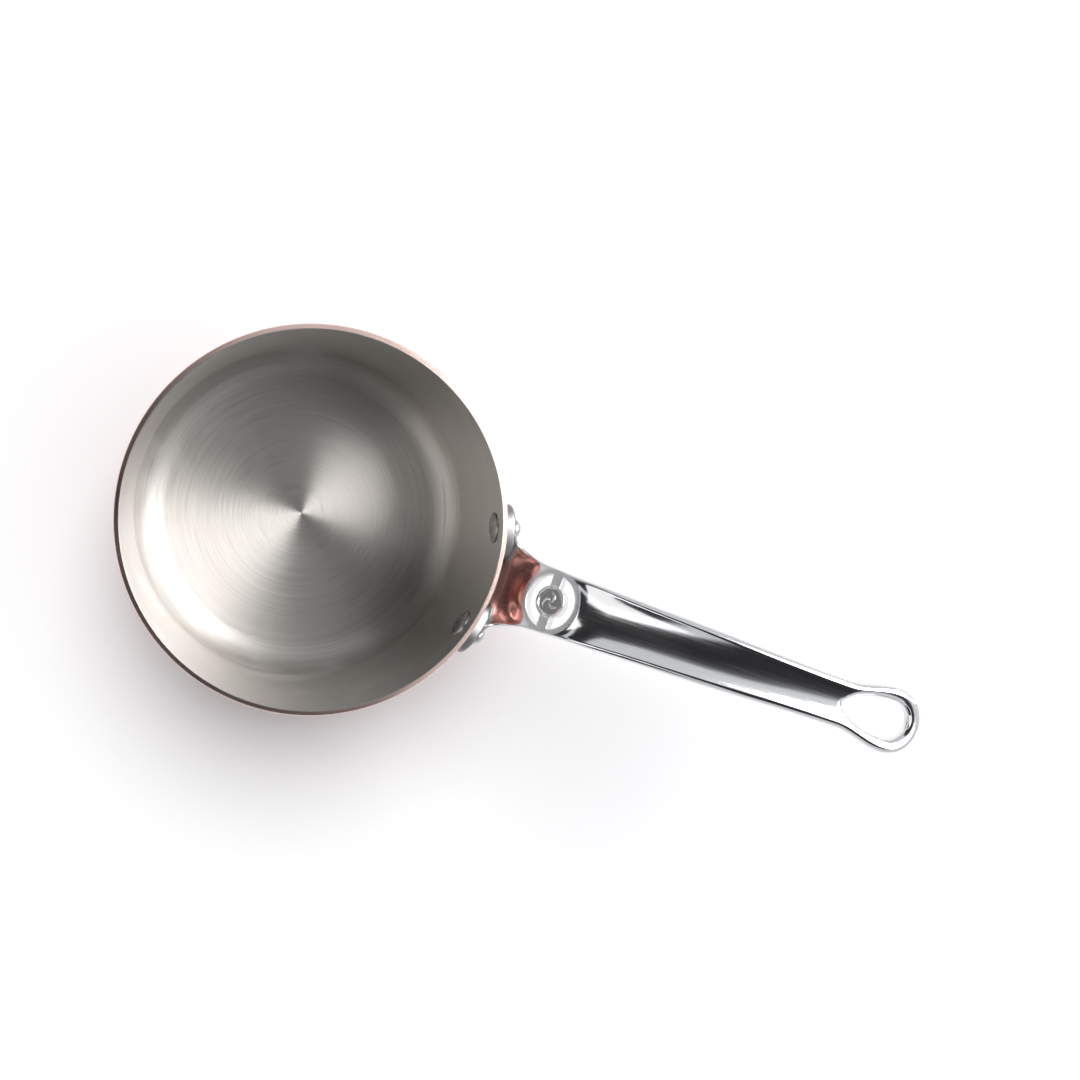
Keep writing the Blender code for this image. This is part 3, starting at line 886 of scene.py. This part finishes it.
# ---- the studio ---------------------------------------------------------------------------
SOFTBOXES = (       # name, bearing and tilt in degrees, power
    ("right_softbox", 38.0, 42.0, 20.5),
    ("left_softbox", 218.0, 46.0, 2.5),
)
SOFTBOX_SIDES = 0.80, 0.90
SOFTBOX_DISTANCE = 1.1
FILL_BEARING, FILL_TILT, FILL_DISTANCE, FILL_POWER, FILL_SPREAD = 109.0, 30.0, 1.4, 2.5, 46.0
CARD_EDGES = (      # direction, where along it the card is dark, where the surround is white
    ("across", 0.17, -0.09),
    ("across", 0.90, 0.98),
    ("along", -0.52, -0.68),
    ("along", 0.85, 0.95),
    ("corner", 0.06, 0.15),
    ("up", 0.25, 0.15),
)
CARD_CORNER = 0.562, 0.827, 0.0     # the way the cut-off corner faces
CARD_SLIT, SLIT_HALF, SLIT_BLUR = 0.57, 0.075, 0.02     # a white slit, across the card
CARD_SHADES = ((0.0, 0.040), (0.45, 0.080), (0.80, 0.25), (1.0, 1.0))   # whiteness, shade
CARD_TINT = 0.95, 0.97, 1.04
SEEN_WHITE = 1.4, 1.4, 1.4      # what the camera sees of the surround itself
# the camera looks down into the pan, turned so that the handle runs to the lower right
CAMERA_PLACE = -0.04846, 0.00810, 0.5150
CAMERA_RIGHT = 0.916239, 0.327610, 0.230603
CAMERA_UP = -0.319734, 0.944780, -0.071842
CAMERA_SENSOR, CAMERA_NEAR = 36.0, 0.01
FLOOR_DROP = 0.0002     # below the base, so that the two faces don't coincide


def overhead(bearing, tilt):
    """Unit vector at a bearing from the handle and a tilt from straight up, in degrees."""
    bearing, tilt = math.radians(bearing), math.radians(tilt)
    side = math.sin(tilt)
    return Vector((side * math.cos(bearing), side * math.sin(bearing), math.cos(tilt)))


def add_light(name, kind, way, distance, power, **options):
    """A light that shines on the origin from far along `way` and that the camera doesn't see."""
    light = bpy.data.lights.new(name, kind)
    light.energy = power
    for option, value in options.items():
        setattr(light, option, value)
    lamp = bpy.data.objects.new(name, light)
    lamp.location = way * distance
    lamp.rotation_mode = "QUATERNION"
    lamp.rotation_quaternion = way.to_track_quat("Z", "Y")
    lamp.visible_camera = False
    bpy.context.scene.collection.objects.link(lamp)
    return lamp


def studio_world(studio):
    """White all round, with a dark card overhead, cut and slit, that polished metal mirrors.

    The card shows in what the metal mirrors and in the light that it holds back. Looked at
    straight, the surround is white everywhere.
    """
    world = bpy.data.worlds.new("studio")
    world.use_nodes = True
    w = Nodes(world.node_tree)
    way = w.node("TexCoord").outputs["Generated"]
    cos, sin = math.cos(studio.card_bearing), math.sin(studio.card_bearing)
    facing = {"along": (cos, sin, 0.0), "across": (-sin, cos, 0.0), "corner": CARD_CORNER}
    lie = {name: w.vector("DOT_PRODUCT", way, axis) for name, axis in facing.items()}
    lie["up"] = w.node("SeparateXYZ", [(0, way)]).outputs["Z"]
    off_slit = w.math("ABSOLUTE", w.math("SUBTRACT", lie["across"], CARD_SLIT))
    white = w.span(off_slit, SLIT_HALF + SLIT_BLUR, SLIT_HALF - SLIT_BLUR, smooth=False)
    for name, dark, light in CARD_EDGES:
        white = w.math("MAXIMUM", white, w.span(lie[name], dark, light, smooth=False))
    shades = [(at, shaded((shade,) * 3, *CARD_TINT)) for at, shade in CARD_SHADES]
    mirrored = w.ramp(white, *shades)
    straight = w.node("LightPath").outputs["Is Camera Ray"]
    background = w.tree.nodes["Background"]
    w.tree.links.new(w.mix(straight, mirrored, SEEN_WHITE), background.inputs["Color"])
    background.inputs["Strength"].default_value = studio.surround
    return world


class SAUCEPAN_OT_studio(bpy.types.Operator):
    """Make the pale floor, the soft light and the camera"""

    bl_idname = "saucepan.studio"
    bl_label = "Studio"

    def execute(self, context):
        studio = context.scene.saucepan_studio
        bm = bmesh.new()
        bmesh.ops.create_grid(bm, x_segments=2, y_segments=2, size=studio.floor_size / 2)
        mesh = bpy.data.meshes.new("floor")
        bm.to_mesh(mesh)
        bm.free()
        floor = bpy.data.objects.new("floor", mesh)
        floor.location.z = CAD_BOX[0].z - FLOOR_DROP
        context.scene.collection.objects.link(floor)
        finish = Finish("pale_floor", studio.floor_colour, 0.75, metallic=0.0)
        fleck = finish.noise(finish.place(), 6.0, detail=2.0)
        pale = tuple(studio.floor_colour)
        finish.feed("Base Color", finish.mix(fleck, pale, shaded(pale, 0.99)))
        mesh.materials.append(finish.material)

        context.scene.world = studio_world(studio)
        context.scene.view_settings.view_transform = "Standard"
        width, depth = SOFTBOX_SIDES
        for name, bearing, tilt, power in SOFTBOXES:
            way = overhead(bearing, tilt)
            box = add_light(name, "AREA", way, SOFTBOX_DISTANCE, power,
                            shape="RECTANGLE", size=width, size_y=depth)
            box.visible_diffuse = False
        way = overhead(FILL_BEARING, FILL_TILT)
        fill = add_light("floor_fill", "SUN", way, FILL_DISTANCE, FILL_POWER,
                         angle=math.radians(FILL_SPREAD))
        fill.visible_glossy = False

        camera = bpy.data.cameras.new("camera")
        camera.lens = studio.lens
        camera.sensor_width = CAMERA_SENSOR
        camera.shift_x = studio.shift
        camera.clip_start = CAMERA_NEAR
        view = bpy.data.objects.new("camera", camera)
        right, up = Vector(CAMERA_RIGHT), Vector(CAMERA_UP)
        turn = Matrix((right, up, right.cross(up))).transposed()
        view.matrix_world = Matrix.Translation(CAMERA_PLACE) @ turn.to_4x4()
        context.scene.collection.objects.link(view)
        context.scene.camera = view
        return {"FINISHED"}


# ---- the panel ----------------------------------------------------------------------------
class SAUCEPAN_PT_panel(bpy.types.Panel):
    """Lists the saucepan's pieces and their sizes"""

    bl_idname = "SAUCEPAN_PT_panel"
    bl_label = "Saucepan"
    bl_space_type = "VIEW_3D"
    bl_region_type = "UI"
    bl_category = "Saucepan"

    def draw(self, context):
        for group, operators in GROUPS:
            box = self.layout.box()
            values = getattr(context.scene, group)
            for name in values.__class__.__annotations__:
                box.prop(values, name)
            for operator in operators:
                box.operator(operator)


GROUPS = (
    ("saucepan_pan", ("saucepan.pan",)),
    ("saucepan_handle", ("saucepan.handle", "saucepan.motif")),
    ("saucepan_rivets", ("saucepan.rivets",)),
    ("saucepan_studio", ("saucepan.studio",)),
)
PROPERTY_GROUPS = (SaucepanPan, SaucepanHandle, SaucepanRivets, SaucepanStudio)
OPERATORS = (
    SAUCEPAN_OT_pan, SAUCEPAN_OT_handle, SAUCEPAN_OT_motif, SAUCEPAN_OT_rivets,
    SAUCEPAN_OT_studio,
)


def register():
    for cls in (*PROPERTY_GROUPS, *OPERATORS, SAUCEPAN_PT_panel):
        bpy.utils.register_class(cls)
    for (name, _), group in zip(GROUPS, PROPERTY_GROUPS):
        setattr(bpy.types.Scene, name, PointerProperty(type=group))


def unregister():
    for name, _ in GROUPS:
        delattr(bpy.types.Scene, name)
    for cls in (SAUCEPAN_PT_panel, *reversed(OPERATORS), *reversed(PROPERTY_GROUPS)):
        bpy.utils.unregister_class(cls)


def main():
    register()
    bpy.ops.saucepan.pan()
    bpy.ops.saucepan.handle()
    bpy.ops.saucepan.motif()
    bpy.ops.saucepan.rivets()
    bpy.ops.saucepan.studio()


if __name__ == "__main__":
    main()
